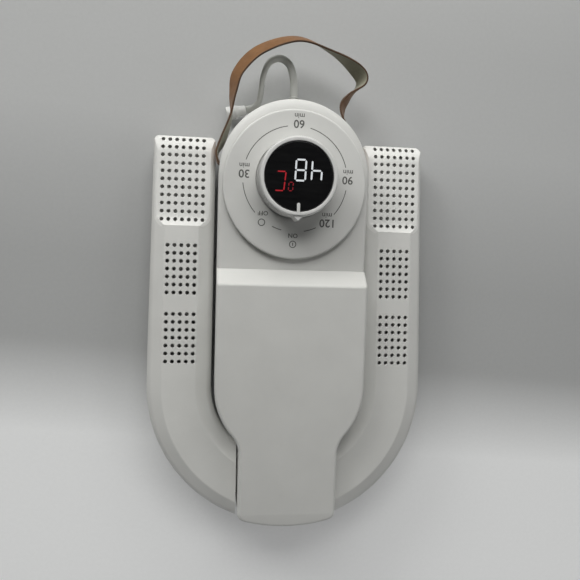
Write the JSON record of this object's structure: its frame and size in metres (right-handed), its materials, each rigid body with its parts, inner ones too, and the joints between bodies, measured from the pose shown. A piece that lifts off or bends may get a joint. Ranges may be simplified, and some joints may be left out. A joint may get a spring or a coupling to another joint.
{
  "type": "boot dryer",
  "caption": "Folding boot dryer: heater body with round timer dial and display, hinged hollow vented arms beside it, carry strap and cord.",
  "frame": {"origin": "on the floor, midway between the hinge end and the far side of the strap, in the plane of symmetry of the body", "axes": "+X to the right seen from the front with the strap up, +Y towards the strap end, +Z out of the display, with the dryer on its back"},
  "size_m": [0.18, 0.313, 0.0645],
  "materials": {
    "white_shell": "fine satin moulding texture",
    "pale_grille": "satin, slightly whiter than the shells",
    "black_lens": "smoked gloss window",
    "dark_plastic": "satin black",
    "grey_plastic": "heat resistant moulding",
    "circuit_board": "solder mask",
    "heater_ceramic": "ceramic",
    "steel": "plated",
    "rubber": "matte",
    "nylon": "natural nylon",
    "tan_leather": "smooth tan face, olive-grey back",
    "cord_sheath": "soft PVC"
  },
  "bodies": {
    "housing": {"front_shell": "white_shell", "heater_cover": "white_shell", "back_cover": "white_shell", "intake_grille": "grey_plastic", "left_top_foot": "rubber", "right_top_foot": "rubber", "left_neck_foot": "rubber", "right_neck_foot": "rubber", "body_screw_1": "steel", "body_screw_2": "steel", "body_screw_3": "steel", "body_screw_4": "steel", "body_screw_5": "steel", "body_screw_6": "steel", "dial_panel": "white_shell", "display_pedestal": "dark_plastic", "display_lens": "black_lens", "display_module": "dark_plastic", "control_board": "circuit_board", "power_board": "circuit_board", "blower_housing": "grey_plastic", "fan_motor": "steel", "heater_core": "heater_ceramic", "heater_frame": "grey_plastic", "air_duct": "grey_plastic", "thermal_cutout": "steel", "left_hinge_bush": "nylon", "right_hinge_bush": "nylon", "strap": "tan_leather", "left_strap_rivet": "steel", "right_strap_rivet": "steel", "power_cord": "cord_sheath", "cord_boot": "cord_sheath", "cord_sleeve": "cord_sheath"},
    "timer_dial": {"knob_ring": "white_shell", "knob_rotor": "nylon"},
    "fan": {"impeller": "dark_plastic", "fan_shaft": "steel"},
    "left_arm": {"left_arm_front_shell": "white_shell", "left_arm_back_shell": "white_shell", "left_tip_grille": "pale_grille", "left_trunnion": "nylon", "left_arm_screw_1": "steel", "left_arm_screw_2": "steel"},
    "right_arm": {"right_arm_front_shell": "white_shell", "right_arm_back_shell": "white_shell", "right_tip_grille": "pale_grille", "right_trunnion": "nylon", "right_arm_screw_1": "steel", "right_arm_screw_2": "steel"}
  },
  "joints": [
    {"name": "left_arm_fold", "type": "hinge", "parent": "housing", "child": "left_arm", "pos_m": [-0.032, -0.13295, 0.024], "axis": [1, 0, 0], "range_deg": [0, 180]},
    {"name": "right_arm_fold", "type": "hinge", "parent": "housing", "child": "right_arm", "pos_m": [0.032, -0.13295, 0.024], "axis": [1, 0, 0], "range_deg": [0, 180]},
    {"name": "timer_turn", "type": "hinge", "parent": "housing", "child": "timer_dial", "pos_m": [0, 0.06255, 0.05], "axis": [0, 0, 1], "range_deg": [-323, 0]},
    {"name": "fan_spin", "type": "hinge", "parent": "housing", "child": "fan", "pos_m": [0, -0.03745, 0.036], "axis": [0, 0, 1], "continuous": true}
  ]
}
